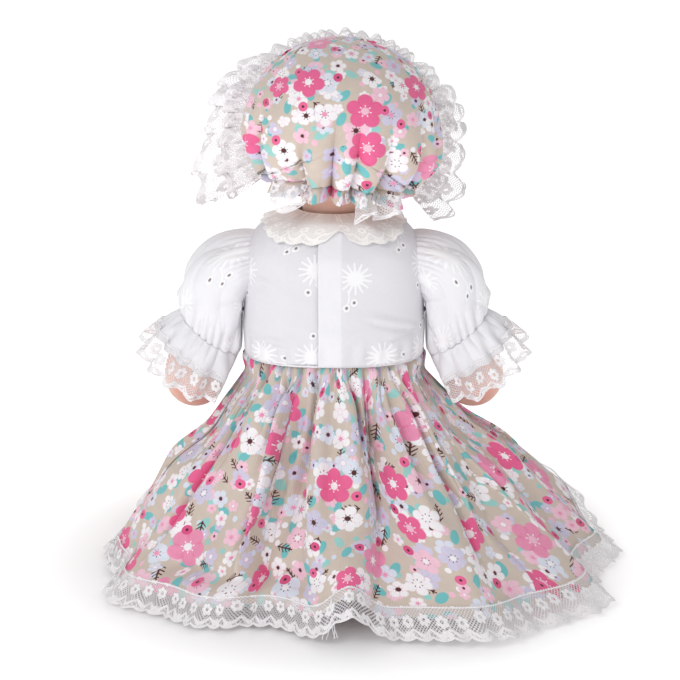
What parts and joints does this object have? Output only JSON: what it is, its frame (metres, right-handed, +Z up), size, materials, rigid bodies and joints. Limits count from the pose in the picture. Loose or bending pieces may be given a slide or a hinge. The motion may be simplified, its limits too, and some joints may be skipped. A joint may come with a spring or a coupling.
{
  "type": "reborn doll",
  "caption": "Seated baby doll with a vinyl head and jointed vinyl limbs on a stuffed cloth torso, dressed in a puff-sleeved bodice, gathered print skirt and lace-edged bonnet",
  "frame": {"origin": "centre of the flat seat under the torso", "axes": "+Z up out of the seat, the doll faces -Y, its left side is +X"},
  "size_m": [0.214, 0.2019, 0.2158],
  "materials": {
    "skin_vinyl": "soft matte vinyl, painted skin tone",
    "eye_acrylic": "polished acrylic",
    "body_cloth": "brushed body cloth",
    "fibre_fill": "loose polyester fibre",
    "weight_beads": "cloth pouch of fine glass beads",
    "joint_plastic": "moulded plastic",
    "print_cotton": "printed cotton twill, small flowers",
    "white_cotton": "thin white embroidered cotton",
    "lace_thread": "white net lace",
    "elastic_band": "woven elastic",
    "touch_tape": "hook and loop tape"
  },
  "bodies": {
    "torso": {"cloth_torso": "body_cloth", "fibre_stuffing": "fibre_fill", "bead_pouch": "weight_beads", "neck_washer": "joint_plastic", "left_shoulder_washer": "joint_plastic", "right_shoulder_washer": "joint_plastic", "left_hip_washer": "joint_plastic", "right_hip_washer": "joint_plastic", "bodice_front": "white_cotton", "bodice_back_left": "white_cotton", "bodice_back_right": "white_cotton", "closure_hook_tape": "touch_tape", "closure_loop_tape": "touch_tape", "collar_lace": "lace_thread", "skirt": "print_cotton", "hem_lace": "lace_thread"},
    "head": {"head_shell": "skin_vinyl", "left_eye": "eye_acrylic", "right_eye": "eye_acrylic", "neck_stem_disc": "joint_plastic", "neck_lock": "joint_plastic", "bonnet_crown": "print_cotton", "bonnet_brim_band": "print_cotton", "bonnet_lace": "lace_thread", "bonnet_nape_elastic": "elastic_band"},
    "left_arm_body": {"left_arm": "skin_vinyl", "left_shoulder_stem_disc": "joint_plastic", "left_shoulder_lock": "joint_plastic", "left_sleeve": "white_cotton", "left_cuff_flounce": "white_cotton", "left_cuff_lace": "lace_thread", "left_cuff_elastic": "elastic_band"},
    "right_arm_body": {"right_arm": "skin_vinyl", "right_shoulder_stem_disc": "joint_plastic", "right_shoulder_lock": "joint_plastic", "right_sleeve": "white_cotton", "right_cuff_flounce": "white_cotton", "right_cuff_lace": "lace_thread", "right_cuff_elastic": "elastic_band"},
    "left_leg_body": {"left_leg": "skin_vinyl", "left_hip_stem_disc": "joint_plastic", "left_hip_lock": "joint_plastic"},
    "right_leg_body": {"right_leg": "skin_vinyl", "right_hip_stem_disc": "joint_plastic", "right_hip_lock": "joint_plastic"}
  },
  "joints": [
    {"name": "head_turn", "type": "hinge", "parent": "torso", "child": "head", "pos_m": [0, 0, 0.146], "axis": [0, 0, 1], "range_deg": [-60, 60]},
    {"name": "left_shoulder", "type": "hinge", "parent": "torso", "child": "left_arm_body", "pos_m": [0.029, 0, 0.124], "axis": [-1, 0, 0], "range_deg": [-3, 70]},
    {"name": "right_shoulder", "type": "hinge", "parent": "torso", "child": "right_arm_body", "pos_m": [-0.029, 0, 0.124], "axis": [-1, 0, 0], "range_deg": [-3, 70]},
    {"name": "left_hip", "type": "hinge", "parent": "torso", "child": "left_leg_body", "pos_m": [0.0305, 0.002, 0.017], "axis": [-1, 0, 0], "range_deg": [-85, 5]},
    {"name": "right_hip", "type": "hinge", "parent": "torso", "child": "right_leg_body", "pos_m": [-0.0305, 0.002, 0.017], "axis": [-1, 0, 0], "range_deg": [-85, 5]}
  ]
}
